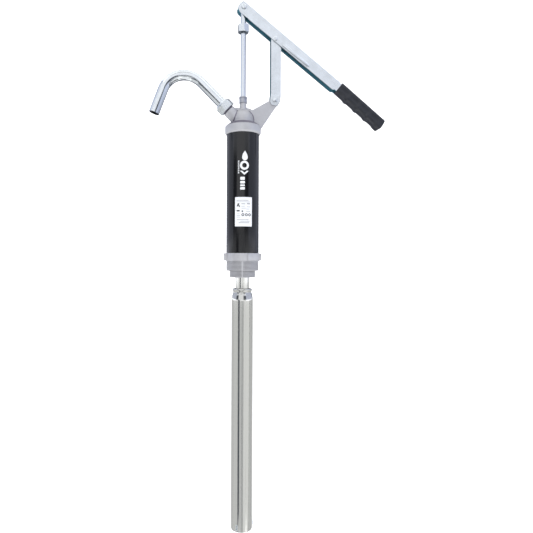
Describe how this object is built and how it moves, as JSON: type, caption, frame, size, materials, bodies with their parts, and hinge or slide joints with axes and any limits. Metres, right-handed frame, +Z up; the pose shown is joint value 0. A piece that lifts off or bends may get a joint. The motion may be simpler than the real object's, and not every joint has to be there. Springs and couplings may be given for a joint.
{
  "type": "drum barrel pump",
  "caption": "Lever-operated barrel pump for oil drums, with swivelling curved spout, bung adapter and telescopic suction tube.",
  "frame": {"origin": "on the pump axis at the bung adapter's seat, where its thread meets the wrench ring", "axes": "+Z up along the barrel, +X towards the hand grip, spout towards -X; the lever works in the XZ plane"},
  "size_m": [0.4458, 0.0666, 0.9746],
  "materials": {
    "die_cast": "satin die-cast",
    "turned_aluminium": "turned satin",
    "black_enamel": "semi-gloss",
    "nitrile_rubber": "matte",
    "zinc_plate": "bright zinc plate",
    "ground_rod": "ground and plated",
    "polished_tube": "polished steel",
    "moulded_plastic": "moulded",
    "brass": "cast",
    "plain_steel": "oiled",
    "leather_cup": "oiled",
    "soft_grip": "soft vinyl",
    "label_film": "printed film"
  },
  "bodies": {
    "head": {"head_casting": "die_cast", "barrel_tube": "black_enamel", "head_gasket": "nitrile_rubber", "bung_adapter": "die_cast", "adapter_gasket": "nitrile_rubber", "gland_nut": "turned_aluminium", "rod_packing": "nitrile_rubber", "spout_nut": "zinc_plate", "spout_washer": "nitrile_rubber", "upper_suction_tube": "polished_tube", "tube_guide_ring": "moulded_plastic", "foot_valve_cage": "brass", "link_pin": "zinc_plate", "barrel_label": "label_film"},
    "foot_valve": {"foot_valve_disc": "plain_steel"},
    "rod": {"piston_rod": "ground_rod", "rod_end_nut": "zinc_plate", "rod_end_eye": "zinc_plate", "valve_stop_ring": "plain_steel", "piston_body": "brass", "piston_cup": "leather_cup", "cup_retainer": "plain_steel", "piston_nut": "plain_steel"},
    "piston_valve": {"piston_valve_disc": "plain_steel"},
    "lever": {"lever_channel": "zinc_plate", "lever_grip": "soft_grip", "lever_pin": "zinc_plate", "lever_pin_washer": "zinc_plate", "cotter_pin": "zinc_plate", "link_rivet": "zinc_plate"},
    "link": {"link_channel": "zinc_plate"},
    "lower_tube": {"lower_suction_tube": "polished_tube", "tube_seal": "nitrile_rubber", "foot_strainer": "moulded_plastic", "strainer_rivets": "polished_tube"},
    "spout": {"spout_tube": "zinc_plate"}
  },
  "joints": [
    {"name": "rod_stroke", "type": "slide", "parent": "head", "child": "rod", "axis": [0, 0, -1], "range_m": [0, 0.101]},
    {"name": "lever_swing", "type": "hinge", "parent": "rod", "child": "lever", "pos_m": [0, 0, 0.4686], "axis": [0, -1, 0], "range_deg": [0, 77.5]},
    {"name": "link_swing", "type": "hinge", "parent": "head", "child": "link", "pos_m": [0.0593, 0, 0.2993], "axis": [0, 1, 0], "range_deg": [0, 3.4]},
    {"name": "piston_valve_lift", "type": "slide", "parent": "rod", "child": "piston_valve", "axis": [0, 0, 1], "range_m": [0, 0.003]},
    {"name": "foot_valve_lift", "type": "slide", "parent": "head", "child": "foot_valve", "axis": [0, 0, 1], "range_m": [0, 0.004]},
    {"name": "suction_extend", "type": "slide", "parent": "head", "child": "lower_tube", "axis": [0, 0, -1], "range_m": [0, 0.395]},
    {"name": "spout_swivel", "type": "hinge", "parent": "head", "child": "spout", "pos_m": [0, 0, 0.2518], "axis": [-0.7193, 0, 0.6947], "range_deg": [-90, 90]}
  ],
  "couplings": [
    {"joint": "rod_stroke", "follows": "lever_swing", "m_per_rad": 0.074507},
    {"joint": "link_swing", "follows": "lever_swing", "ratio": 0.042962}
  ]
}
